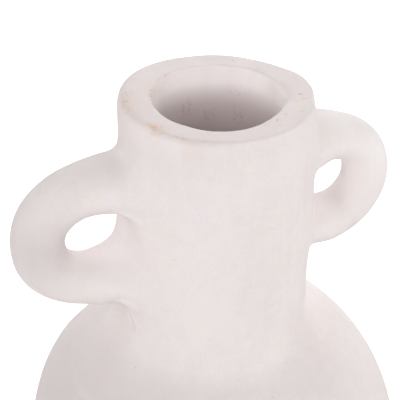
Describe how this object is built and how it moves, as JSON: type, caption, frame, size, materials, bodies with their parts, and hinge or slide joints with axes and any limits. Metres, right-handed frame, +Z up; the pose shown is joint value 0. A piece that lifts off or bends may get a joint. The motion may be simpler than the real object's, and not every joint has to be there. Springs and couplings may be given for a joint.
{
  "type": "vase",
  "caption": "Round-bellied vase with a tall tapered neck, a thick flat rim and a small ear handle on each side, in matt white limewashed terracotta.",
  "frame": {"origin": "centre of the underside", "axes": "+Z up the vase's axis to its mouth, the two handles along -X and +X"},
  "size_m": [0.201, 0.201, 0.3142],
  "materials": {
    "limewash": "matte"
  },
  "bodies": {
    "root": {"floor_slab": "limewash", "belly_bowl": "limewash", "shoulder_dome": "limewash", "neck_tube": "limewash", "lip_coil": "limewash", "fillet_coil": "limewash", "left_handle": "limewash", "right_handle": "limewash"}
  },
  "joints": []
}
